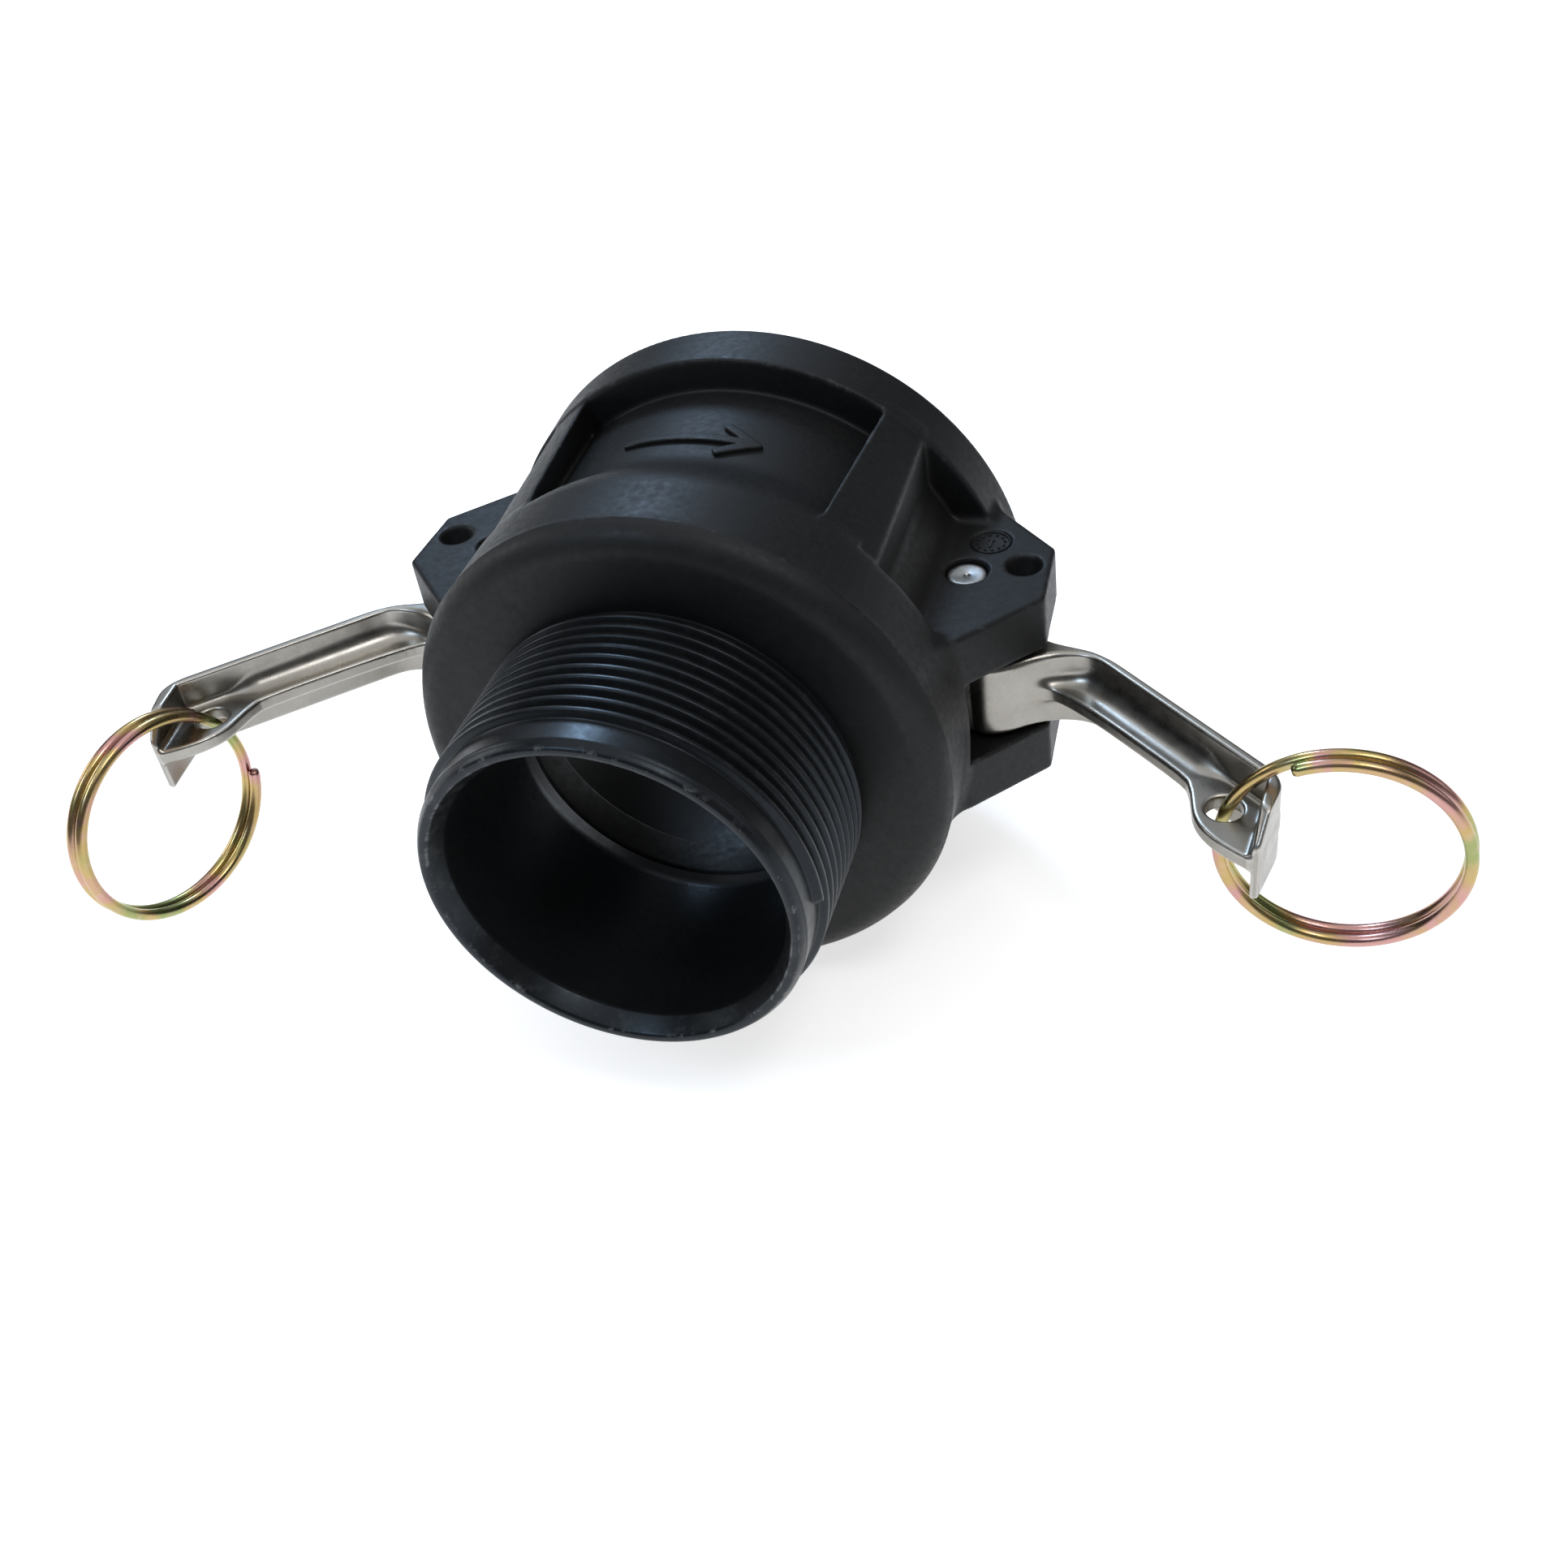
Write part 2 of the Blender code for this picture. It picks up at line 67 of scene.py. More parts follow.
# ---- sizes of the thread and bore, in millimetres --------------------------------------
PITCH = 2.309
CREST_R, ROOT_R = 29.8, 28.55
THREAD_FROM, THREAD_TO = 4.6, 28.1
RUNOUT_R = 28.6
BORE_R = 25.05
SOCKET_R, RECESS_R, SEAT_R = 31.75, 33.6, 27.2
GASKET_Y0, GASKET_Y1 = 33.2, 40.2
SPIGOT_END = GASKET_Y0 - 0.1
MOUTH_CHAMFER = 1.6

# ---- sizes of the moulded body ---------------------------------------------------------
FLANGE_Y = 29.5
SHOULDER_R, FLOOR_R = 41.85, 37.72
FLARE_Y0, FLARE_Y1 = 42.5, 57.0
SEAM_Y = 33.1
POCKET_X, POCKET_Y = 28.0, 44.5
RIM_Y, RIM_R0, RIM_R1 = 75.4, 43.1, 43.5
RIB_Y0, RIB_Y1, RIB_R0, RIB_R1 = 43.0, 75.0, 41.4, 42.9
RIB_INNER_X, RIB_OUTER_X = 22.2, 30.4
LUG_Z, SLOT_Z = 16.2, 7.35
LUG = [(30.0, 37.5), (35.0, 39.0), (41.4, 44.6), (51.75, 55.9), (51.1, 69.0), (39.8, 80.2),
       (30.0, 80.2)]
SLOT_X, SLOT_Y0, SLOT_Y1 = 37.0, 44.8, 74.4
WINDOW_X0, WINDOW_X1, WINDOW_Y0, WINDOW_Y1 = 28.0, 40.0, 49.2, 73.0
PIN_HOLE_R = 3.3
DIMPLE_X, DIMPLE_Y, DIMPLE_R = 47.2, 64.1, 2.8
DIMPLE_DEPTH, DIMPLE_TAPER = 4.2, 0.42
STAMP_X, STAMP_Y, STAMP_R = 41.05, 69.9, 3.1
ARROW_Y, ARROW_HEIGHT = 60.7, 0.68

# ---- sizes of the arms, pins and rings -------------------------------------------------
ARM_ANGLE = math.radians(41.6)
ARM_SAG = -0.33
ARM_HALF, WEB_HALF = 6.5, 1.2
HEAD_R, HEAD_BACK_R, ARM_BORE_R = 10.5, 6.3, 3.28
EYE_S, EYE_M, EYE_R = 51.6, 4.2, 2.6
PIN_R, PIN_HALF = 3.2, 15.55
KNURLS, KNURL_DEPTH = 32, 0.2
WIRE_R, RING_R, RING_PITCH = 0.93, 16.55, 2.02
# How each ring hangs: swivel, droop and starting angle in degrees, and which way it is wound.
RIGHT_HANG = (41.6, 16.2, 228.0, 1)
LEFT_HANG = (-30.5, 31.6, 140.0, -1)

# ---- camera, measured from the centre of the thread's end ------------------------------
CAMERA_AT = (93.69, -159.37, 168.81)
CAMERA_FORWARD = (-0.2883, 0.7119, -0.6403)
CAMERA_RIGHT = (0.9535, 0.2746, -0.1240)
SENSOR_MM, LENS_MM = 36.0, 41.4205


# ---- distance fields -------------------------------------------------------------------
def meet(a, b, r=0.0):
    """What is inside both, with the shared edge rounded to radius r, a number or a field."""
    if np.ndim(r) == 0 and r <= 0.0:
        return np.maximum(a, b)
    return np.minimum(-r, np.maximum(a, b)) + np.hypot(np.maximum(r + a, 0), np.maximum(r + b, 0))


def join(a, b, r=0.0):
    """What is inside either, with the inner corner filleted to radius r."""
    return -meet(-a, -b, r)


def cut(a, b, r=0.0):
    """a without b, with the edge of the cut rounded to radius r."""
    return meet(a, -b, r)


def overlap(*fields):
    """What is inside all of them, with sharp edges."""
    return functools.reduce(np.maximum, fields)


def between(value, lo, hi):
    """Inside from lo to hi."""
    return np.maximum(lo - value, value - hi)


def ramp(value, lo, hi):
    """0 up to lo, 1 from hi on, straight between them."""
    return np.clip((value - lo) / (hi - lo), 0.0, 1.0)


def smooth_ramp(value, lo, hi):
    """A ramp with level ends."""
    t = ramp(value, lo, hi)
    return t * t * (3.0 - 2.0 * t)


def polygon(u, v, points, rounding=0.0):
    """Signed distance to a closed outline, grown outwards by the rounding."""
    nearest = None
    inside = None
    for (ax, ay), (bx, by) in zip(points, points[1:] + points[:1]):
        ex, ey = bx - ax, by - ay
        wx, wy = u - ax, v - ay
        t = np.clip((wx * ex + wy * ey) / (ex * ex + ey * ey), 0.0, 1.0)
        d = (wx - ex * t) ** 2 + (wy - ey * t) ** 2
        crossing = ((ay <= v) & (by > v)) | ((ay > v) & (by <= v))
        side = (ex * wy - ey * wx) * (1.0 if by > ay else -1.0)
        hit = crossing & (side > 0)
        nearest = d if nearest is None else np.minimum(nearest, d)
        inside = hit if inside is None else inside ^ hit
    return np.where(inside, -1.0, 1.0) * np.sqrt(nearest) - rounding


def inset(points, d):
    """The outline moved inwards by d, so that rounding by d brings it back."""
    following = points[1:] + points[:1]
    area = sum(ax * by - bx * ay for (ax, ay), (bx, by) in zip(points, following))
    turn = 1.0 if area > 0 else -1.0
    moved = []
    for corner in zip(points[-1:] + points[:-1], points, following):
        p0, p1, p2 = np.array(corner, float)
        a = (p1 - p0) / np.linalg.norm(p1 - p0)
        b = (p2 - p1) / np.linalg.norm(p2 - p1)
        bisector = turn * np.array([-a[1] - b[1], a[0] + b[0]])
        moved.append(tuple(p1 + d * bisector * 2.0 / max(bisector @ bisector, 0.6)))
    return moved


def rounded(u, v, points, r):
    """Signed distance to a closed outline whose convex corners have radius r."""
    return polygon(u, v, inset(points, r), r)


def arc(cx, cy, r, a0, a1, n):
    """n + 1 points of a circle, from a0 to a1 degrees."""
    angles = np.radians(np.linspace(a0, a1, n + 1))
    return [(cx + r * math.cos(a), cy + r * math.sin(a)) for a in angles]


def smooth_line(points, per=4):
    """Catmull-Rom curve through the points, so that cast outlines show no facets."""
    p = np.array([points[0]] + points + [points[-1]], float)
    line = []
    for k in range(1, len(p) - 2):
        a, b, c, d = p[k - 1:k + 3]
        for t in np.arange(per) / per:
            bend = (2 * a - 5 * b + 4 * c - d) * t * t + (3 * b - a - 3 * c + d) * t ** 3
            line.append(tuple(0.5 * (2 * b + (c - a) * t + bend)))
    return line + [tuple(p[-1])]


# ---- meshing ---------------------------------------------------------------------------
def surface(field, lo, hi, step):
    """Surface nets over a box, every vertex then slid onto the field's zero."""
    x, y, z = (np.arange(a, b + step, step, dtype=np.float32) for a, b in zip(lo, hi))
    f = field(x[:, None, None], y[None, :, None], z[None, None, :]).astype(np.float32)
    inside = f < 0
    nx, ny, nz = f.shape
    corners = [(i, j, k) for i in (0, 1) for j in (0, 1) for k in (0, 1)]
    count = np.zeros((nx - 1, ny - 1, nz - 1), np.int8)
    for i, j, k in corners:
        count += inside[i:nx - 1 + i, j:ny - 1 + j, k:nz - 1 + k]
    cells = np.argwhere((count > 0) & (count < len(corners)))
    points = np.array(lo) + (cells + crossing_centres(f, cells, corners)) * step
    number = np.full(count.shape, -1, np.int64)
    number[tuple(cells.T)] = np.arange(len(cells))
    faces = np.concatenate([crossing_quads(inside, number, axis) for axis in range(3)])
    for _ in range(3):
        slope = slope_at(field, points, step * 0.25)
        steepness = np.maximum((slope ** 2).sum(1), 0.05)
        move = slope * (field(*points.T) / steepness)[:, None]
        points = points - np.clip(move, -step * 0.5, step * 0.5)
    return points, faces


def crossing_centres(f, cells, corners):
    """Mean of the places where the field changes sign along each cell's edges."""
    total = np.zeros((len(cells), 3))
    weight = np.zeros(len(cells))
    for a in corners:
        for axis in range(3):
            if a[axis]:
                continue
            b = list(a)
            b[axis] = 1
            fa = f[tuple((cells + a).T)]
            fb = f[tuple((cells + b).T)]
            hit = (fa < 0) != (fb < 0)
            t = np.where(hit, fa / np.where(hit, fa - fb, 1.0), 0.0)
            place = np.array(a, float) + t[:, None] * (np.array(b) - np.array(a))
            total += place * hit[:, None]
            weight += hit
    return total / weight[:, None]


def crossing_quads(inside, number, axis):
    """One quad around each grid edge along the axis that has one end inside."""
    shape = inside.shape
    u, v = (axis + 1) % 3, (axis + 2) % 3
    low = [slice(None)] * 3
    high = [slice(None)] * 3
    low[axis] = slice(0, shape[axis] - 1)
    high[axis] = slice(1, shape[axis])
    at = np.argwhere(inside[tuple(low)] != inside[tuple(high)])
    off_low_side = (at[:, u] > 0) & (at[:, v] > 0)
    off_high_side = (at[:, u] < shape[u] - 1) & (at[:, v] < shape[v] - 1)
    at = at[off_low_side & off_high_side]
    around = []
    for du, dv in ((-1, -1), (0, -1), (0, 0), (-1, 0)):
        cell = at.copy()
        cell[:, u] += du
        cell[:, v] += dv
        around.append(number[tuple(cell.T)])
    quads = np.stack(around, 1)
    flip = ~inside[tuple(at.T)]
    quads[flip] = quads[flip][:, ::-1]
    return quads


def slope_at(field, points, e):
    """Gradient of the field by differences over e to either side."""
    steps = e * np.eye(3)
    return np.stack([field(*(points + s).T) - field(*(points - s).T) for s in steps], 1) / (2 * e)


def sharpness(field, points, e):
    """How convex the surface is at each point: 0 on flats, 1 on an outer edge."""
    slope = slope_at(field, points, e)
    normal = slope / np.maximum(np.linalg.norm(slope, axis=1), 1e-6)[:, None]
    side = np.cross(normal, np.array([0.31, 0.52, 0.79]))
    side /= np.linalg.norm(side, axis=1)[:, None]
    other = np.cross(normal, side)
    directions, sharp_rise = 6, 0.3
    rise = 0.0
    for k in range(directions):
        a = TAU * k / directions
        rise = rise + field(*(points + (side * math.cos(a) + other * math.sin(a)) * e).T)
    return np.clip(rise / directions / (sharp_rise * e), 0.0, 1.0)


def turned(rows, seg):
    """Closed ring of rows (radius, y) about Y; a radius is a number or one value per angle."""
    angle = TAU * np.arange(seg) / seg
    points = np.concatenate([np.stack([r * np.cos(angle), np.full(seg, y), r * np.sin(angle)], 1)
                             for r, y in rows])
    n = len(rows)
    i, j = np.meshgrid(np.arange(n), np.arange(seg), indexing="ij")
    i2, j2 = (i + 1) % n, (j + 1) % seg
    corners = [i * seg + j, i2 * seg + j, i2 * seg + j2, i * seg + j2]
    return points, np.stack(corners, -1).reshape(-1, 4)


def make(name, points, faces, body, replaced, mat, wear=None):
    """A mesh piece in row metres that rides on a CAD body and may stand for a CAD node."""
    mesh = bpy.data.meshes.new(name)
    points = (np.asarray(points) + AXIS) * MM
    mesh.from_pydata(points.tolist(), [], [list(map(int, f)) for f in faces])
    if wear is not None:
        layer = mesh.attributes.new("wear", "FLOAT", "POINT")
        layer.data.foreach_set("value", np.asarray(wear, np.float32))
    mesh.update()
    mesh.polygons.foreach_set("use_smooth", [True] * len(mesh.polygons))
    mesh.materials.append(mat)
    ob = bpy.data.objects.new(name, mesh)
    bpy.context.scene.collection.objects.link(ob)
    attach(ob, body)
    if replaced:
        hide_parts(replaced)
    return ob


# ---- materials -------------------------------------------------------------------------
class Nodes:
    """Short names for the few shader nodes that the materials use. Scales are per metre."""

    def __init__(self, name):
        self.mat = bpy.data.materials.new(name)
        self.mat.use_nodes = True
        self.tree = self.mat.node_tree
        self.bsdf = self.tree.nodes["Principled BSDF"]
        self.coords = self.tree.nodes.new("ShaderNodeTexCoord")

    def noise(self, scale, detail=4.0, rough=0.55, distort=0.0):
        node = self.tree.nodes.new("ShaderNodeTexNoise")
        node.inputs["Scale"].default_value = scale
        node.inputs["Detail"].default_value = detail
        node.inputs["Roughness"].default_value = rough
        node.inputs["Distortion"].default_value = distort
        self.tree.links.new(self.coords.outputs["Object"], node.inputs["Vector"])
        return node.outputs["Fac"]

    def attribute(self, name):
        node = self.tree.nodes.new("ShaderNodeAttribute")
        node.attribute_name = name
        return node.outputs["Fac"]

    def span(self, value, lo, hi, out_lo=0.0, out_hi=1.0):
        node = self.tree.nodes.new("ShaderNodeMapRange")
        node.inputs["From Min"].default_value = lo
        node.inputs["From Max"].default_value = hi
        node.inputs["To Min"].default_value = out_lo
        node.inputs["To Max"].default_value = out_hi
        self.tree.links.new(value, node.inputs["Value"])
        return node.outputs["Result"]

    def times(self, a, b):
        node = self.tree.nodes.new("ShaderNodeMath")
        node.operation = "MULTIPLY"
        self.tree.links.new(a, node.inputs[0])
        self.tree.links.new(b, node.inputs[1])
        return node.outputs["Value"]

    def mix(self, factor, a, b):
        """Colour a at factor 0, b at factor 1. The colour sockets are inputs 6, 7 and output 2."""
        node = self.tree.nodes.new("ShaderNodeMix")
        node.data_type = "RGBA"
        self.tree.links.new(factor, node.inputs["Factor"])
        for socket, value in ((node.inputs[6], a), (node.inputs[7], b)):
            if isinstance(value, tuple):
                socket.default_value = (*value, 1.0)
            else:
                self.tree.links.new(value, socket)
        return node.outputs[2]

    def bump(self, height, strength, distance, below=None):
        node = self.tree.nodes.new("ShaderNodeBump")
        node.inputs["Strength"].default_value = strength
        node.inputs["Distance"].default_value = distance
        self.tree.links.new(height, node.inputs["Height"])
        if below is not None:
            self.tree.links.new(below, node.inputs["Normal"])
        return node.outputs["Normal"]

    def finish(self, colour, rough, normal, metallic=0.0):
        for key, value in (("Base Color", colour), ("Roughness", rough), ("Normal", normal)):
            self.tree.links.new(value, self.bsdf.inputs[key])
        self.bsdf.inputs["Metallic"].default_value = metallic
        return self.mat


def plastic_material(name, rough_lo, rough_hi, wear_to, gloss, sheen):
    """Black glass-filled polypropylene: mottled moulding grain, scuffed pale on edges."""
    n = Nodes(name)
    cloud = n.noise(38.0, 5.0, 0.6)
    grain = n.noise(900.0, 3.0, 0.6)
    fleck = n.noise(2300.0, 2.0, 0.5)
    base = n.mix(n.span(cloud, 0.35, 0.7), (0.006, 0.0062, 0.0066), (0.0105, 0.0107, 0.0112))
    base = n.mix(n.span(fleck, 0.6, 0.78, 0.0, 0.3), base, (0.028, 0.0285, 0.03))
    scuff = n.times(n.attribute("wear"), n.span(n.noise(420.0, 4.0, 0.65), 0.53, 0.66))
    base = n.mix(scuff, base, wear_to)
    rough = n.span(grain, 0.3, 0.7, rough_lo, rough_hi)
    normal = n.bump(n.noise(110.0, 3.0, 0.5), 0.1, 0.0004)
    normal = n.bump(grain, 0.18, 0.0001, normal)
    n.bsdf.inputs["Specular IOR Level"].default_value = gloss
    n.bsdf.inputs["Specular Tint"].default_value = (*sheen, 1.0)
    return n.finish(base, rough, normal)


def rubber_material():
    """Matt black rubber with a fine tooth."""
    n = Nodes("gasket_rubber")
    base = n.mix(n.span(n.noise(300.0), 0.35, 0.7), (0.009, 0.009, 0.0095), (0.016, 0.016, 0.017))
    rough = n.span(n.noise(900.0), 0.3, 0.7, 0.5, 0.68)
    return n.finish(base, rough, n.bump(n.noise(1600.0), 0.2, 0.0001))


def cast_material():
    """Tumbled stainless casting: satin, soft waves, fine pits, and edges lightened to pale steel,
    partly rubbed wear and partly a painted highlight on the rims.
    """
    n = Nodes("cast_stainless")
    wave = n.noise(150.0, 3.0, 0.5)
    fine = n.noise(1900.0, 3.0, 0.6)
    cloud = n.noise(70.0, 4.0, 0.6)
    base = n.mix(n.span(cloud, 0.35, 0.7), (0.30, 0.284, 0.256), (0.385, 0.366, 0.334))
    base = n.mix(n.span(fine, 0.55, 0.8, 0.0, 0.35), base, (0.20, 0.19, 0.175))
    # Edges lightened towards pale steel: partly rubbed wear, partly a painted highlight standing
    # in for the bright rims.
    base = n.mix(n.span(n.attribute("wear"), 0.15, 0.9, 0.0, 0.7), base, (0.60, 0.58, 0.54))
    rough = n.span(n.noise(420.0, 4.0, 0.6), 0.3, 0.7, 0.25, 0.35)
    normal = n.bump(wave, 0.06, 0.0003)
    normal = n.bump(fine, 0.08, 0.00005, normal)
    return n.finish(base, rough, normal, metallic=1.0)


def pin_material():
    """Turned steel, a little brighter than the castings."""
    n = Nodes("pin_steel")
    base = n.mix(n.span(n.noise(800.0), 0.3, 0.7), (0.38, 0.38, 0.378), (0.52, 0.515, 0.505))
    rough = n.span(n.noise(1500.0), 0.3, 0.7, 0.28, 0.4)
    return n.finish(base, rough, n.bump(n.noise(1800.0), 0.2, 0.00006), metallic=1.0)


def zinc_material():
    """Yellow zinc passivate: gold drifting to pink and green along the wire."""
    n = Nodes("yellow_zinc_wire")
    pink, gold = (0.55, 0.30, 0.27), (0.50, 0.36, 0.15)
    green, blush = (0.32, 0.35, 0.14), (0.62, 0.42, 0.38)
    drift = n.noise(80.0, 3.0, 0.5, distort=0.6)
    base = n.mix(n.span(drift, 0.4, 0.5), pink, gold)
    base = n.mix(n.span(drift, 0.52, 0.62), base, green)
    base = n.mix(n.span(n.noise(500.0, 3.0, 0.6), 0.5, 0.75, 0.0, 0.3), base, blush)
    rough = n.span(n.noise(300.0), 0.3, 0.7, 0.22, 0.32)
    return n.finish(base, rough, n.bump(n.noise(400.0, 2.0), 0.03, 0.0001), metallic=1.0)


# ---- body ------------------------------------------------------------------------------
def outer_radius(y):
    """Turned outside from the shoulder down its S-shaped flare to the panel floor."""
    flare = 0.5 + 0.5 * np.cos(math.pi * ramp(y, FLARE_Y0, FLARE_Y1))
    band = 0.35 * (1.0 - ramp(y, SEAM_Y - 4.1, SEAM_Y - 0.1))
    seam = 0.1 * np.exp(-((y - SEAM_Y) / 0.3) ** 2)
    return FLOOR_R + (SHOULDER_R - FLOOR_R) * flare - band + seam


def shell_field(ax, y, az, r):
    """Shoulder, panels, side pockets, rim and ribs, before anything is cut."""
    flare = meet((r - outer_radius(y)) * 0.93, FLANGE_Y - y, 4.0)
    core = np.maximum(r - FLOOR_R, FLANGE_Y + 3.0 - y)
    pocketed = join(meet(flare, y - POCKET_Y, 0.4), core, 0.5)
    rim_r = RIM_R0 + (RIM_R1 - RIM_R0) * (y - RIM_Y) / (LENGTH - RIM_Y)
    rim = meet(r - rim_r, RIM_Y - y, 0.45)
    f = join(np.where(ax < POCKET_X, flare, pocketed), rim, 0.6)
    rib_r = RIB_R0 + (RIB_R1 - RIB_R0) * ramp(y, RIB_Y0, RIB_Y1)
    inner_x = RIB_INNER_X + 0.069 * (y - RIB_Y0) - 0.03 * (az - 36.0)
    rib = meet(meet(r - rib_r, ax - RIB_OUTER_X, 0.45), inner_x - ax, 0.45)
    return join(f, np.maximum(rib, between(y, FLANGE_Y + 8.5, RIM_Y + 2.0)), 0.7)


def hollow_field(y, r):
    """Socket, gasket recess and the seat in which the spigot's end stands."""
    socket = np.maximum(r - SOCKET_R, GASKET_Y1 + 0.3 - y)
    recess = np.maximum(r - RECESS_R, between(y, GASKET_Y0, GASKET_Y1 + 0.3))
    seat = np.maximum(r - SEAT_R, y - GASKET_Y0 - 1.0)
    return np.minimum(np.minimum(socket, recess), seat)


def body_field(x, y, z):
    """The moulded body behind the thread, with everything that is cut from it."""
    ax, az = np.abs(x), np.abs(z)
    r = np.hypot(x, z)
    lug = meet(rounded(ax, y, LUG, 1.3), az - LUG_Z, 0.5)
    f = meet(join(shell_field(ax, y, az, r), lug, 1.6), y - LENGTH, 0.8)
    f = cut(f, overlap(az - SLOT_Z, between(y, SLOT_Y0, SLOT_Y1), SLOT_X - ax), 0.4)
    f = cut(f, hollow_field(y, r), 0.6)
    f = cut(f, (r - SOCKET_R - MOUTH_CHAMFER + LENGTH - y) * math.sqrt(0.5), 0.3)
    window = np.maximum(between(y, WINDOW_Y0, WINDOW_Y1), between(ax, WINDOW_X0, WINDOW_X1))
    f = cut(f, np.maximum(az - SLOT_Z, window), 0.4)
    f = cut(f, np.hypot(ax - PIN_X, y - PIN_Y) - PIN_HOLE_R, 0.35)
    depth = LUG_Z - az
    dimple_r = DIMPLE_R - DIMPLE_TAPER * np.clip(depth, -1.0, 6.0)
    dimple = (np.hypot(ax - DIMPLE_X, y - DIMPLE_Y) - dimple_r) * 0.9
    f = cut(f, np.maximum(dimple, depth - DIMPLE_DEPTH), 0.3)
    stamp = np.hypot(x - STAMP_X, y - STAMP_Y) - STAMP_R - 0.1
    return cut(f, np.maximum(stamp, LUG_Z - 0.45 - z), 0.15)


def build_housing(mat):
    points, faces = surface(body_field, (-53.4, 28.6, -45.2), (53.4, 85.6, 45.2), step=0.42)
    wear = 0.35 * sharpness(body_field, points, 0.5)
    return make("housing", points, faces, "body", "coupler_body", mat, wear)


def thread_row(y, angle):
    """Radius and height of the ridge at y, for each angle in turns; the start is blunt."""
    turns = (y - THREAD_FROM) / PITCH - angle
    phase = turns - np.floor(turns)
    ridge = smooth_ramp((1.0 - np.abs(2.0 * phase - 1.0)) * 1.5 - 0.2, 0.0, 1.0)
    fade = 1.0 - smooth_ramp(y, THREAD_TO - 0.3, THREAD_TO + 0.5)
    height = ridge * smooth_ramp(turns, -0.02, 0.1) * fade
    base = ROOT_R - 0.25 * (1.0 - smooth_ramp(y, 0.9, 1.6))
    return base + (CREST_R - ROOT_R) * height, height


def build_spigot(mat):
    """Male pipe thread with a blunt start, lead chamfer and bore, turned row by row."""
    seg = 288
    angle = np.arange(seg) / seg
    # Each row is radius, y and wear.
    bore = [(BORE_R, y, 0.0) for y in (SPIGOT_END, *np.linspace(30.0, 4.0, 14), 3.0)]
    inner_lip = [(25.2, 2.75, 0.1), (26.35, 0.45, 0.1), (26.6, 0.12, 1.0), (26.85, 0.0, 0.1)]
    outer_lip = [(27.5, 0.0, 0.1), (27.72, 0.06, 0.9), (27.95, 0.35, 0.3)]
    rows = bore + inner_lip + outer_lip
    for y in np.arange(0.9, 29.2, PITCH / 16):
        radius, height = thread_row(y, angle)
        rows.append((radius, y, 0.05 * height))
    rows += [(RUNOUT_R, 29.25, 0.0), (RUNOUT_R, 31.5, 0.0), (RUNOUT_R - 0.4, SPIGOT_END, 0.0)]
    points, faces = turned([row[:2] for row in rows], seg)
    wear = np.concatenate([np.broadcast_to(row[2], seg) for row in rows])
    return make("threaded_spigot", points, faces[:, ::-1], "body", None, mat, wear)


def build_mark(mat):
    """Generic flow arrow standing proud of the upper panel's floor."""
    half = [(-12.0, 0.75), (6.4, 0.75), (3.0, 3.15), (3.85, 4.35)]
    outline = [(x, ARROW_Y - w) for x, w in half] + [(10.1, ARROW_Y)]
    outline += [(x, ARROW_Y + w) for x, w in reversed(half)]

    def field(x, y, z):
        r = np.hypot(x, z)
        f = meet(rounded(x, y, outline, 0.25), r - FLOOR_R - ARROW_HEIGHT, 0.2)
        return np.maximum(f, FLOOR_R - 0.6 - r)

    points, faces = surface(field, (-12.6, 55.6, 34.5), (10.6, 65.8, 38.9), step=0.16)
    wear = 0.4 * sharpness(field, points, 0.25)
    return make("flow_mark", points, faces, "body", None, mat, wear)


def build_stamp(mat):
    """Small round mould insert on the right lug: rim, pips and a plain pointer."""
    pips, pip_ring = 12, STAMP_R * 0.68
    half = [(0.2, -1.2), (0.2, 0.5), (0.55, 0.5)]
    pointer = [(STAMP_X - w, STAMP_Y + v) for w, v in half] + [(STAMP_X, STAMP_Y + 1.35)]
    pointer += [(STAMP_X + w, STAMP_Y + v) for w, v in reversed(half)]

    def field(x, y, z):
        r = np.hypot(x - STAMP_X, y - STAMP_Y)
        disc = np.maximum(r - STAMP_R, z - (LUG_Z - 0.3))
        rim = meet(np.abs(r - (STAMP_R - 0.25)) - 0.14, z - (LUG_Z - 0.02), 0.1)
        disc = join(disc, rim, 0.1)
        sector = (np.arctan2(y - STAMP_Y, x - STAMP_X) / TAU * pips) % 1.0 - 0.5
        pip = np.hypot(r - pip_ring, sector * TAU / pips * pip_ring) - 0.2
        disc = join(disc, meet(pip, z - (LUG_Z - 0.05), 0.08), 0.05)
        disc = join(disc, meet(polygon(x, y, pointer), z - (LUG_Z - 0.04), 0.08), 0.05)
        return np.maximum(disc, LUG_Z - 0.9 - z)

    reach = STAMP_R + 0.3
    lo = (STAMP_X - reach, STAMP_Y - reach, LUG_Z - 1.1)
    hi = (STAMP_X + reach, STAMP_Y + reach, LUG_Z + 0.2)
    points, faces = surface(field, lo, hi, step=0.07)
    wear = 0.5 * sharpness(field, points, 0.12)
    return make("mould_roundel", points, faces, "body", None, mat, wear)


def build_gasket(mat):
    """Flat ring with softened lips, its bore just clear of the body's."""
    lip = 0.7
    inner, outer, front = BORE_R + 0.1, RECESS_R - 0.3, GASKET_Y0 + 0.3
    section = [(inner, front), (outer, front), (outer, GASKET_Y1), (inner, GASKET_Y1)]
    rows = []
    for k, (r, y) in enumerate(inset(section, lip)):
        rows += arc(r, y, lip, 180.0 + 90.0 * k, 270.0 + 90.0 * k, 5)
    points, faces = turned(rows, 192)
    return make("gasket_ring", points, faces, "body", "gasket", mat)


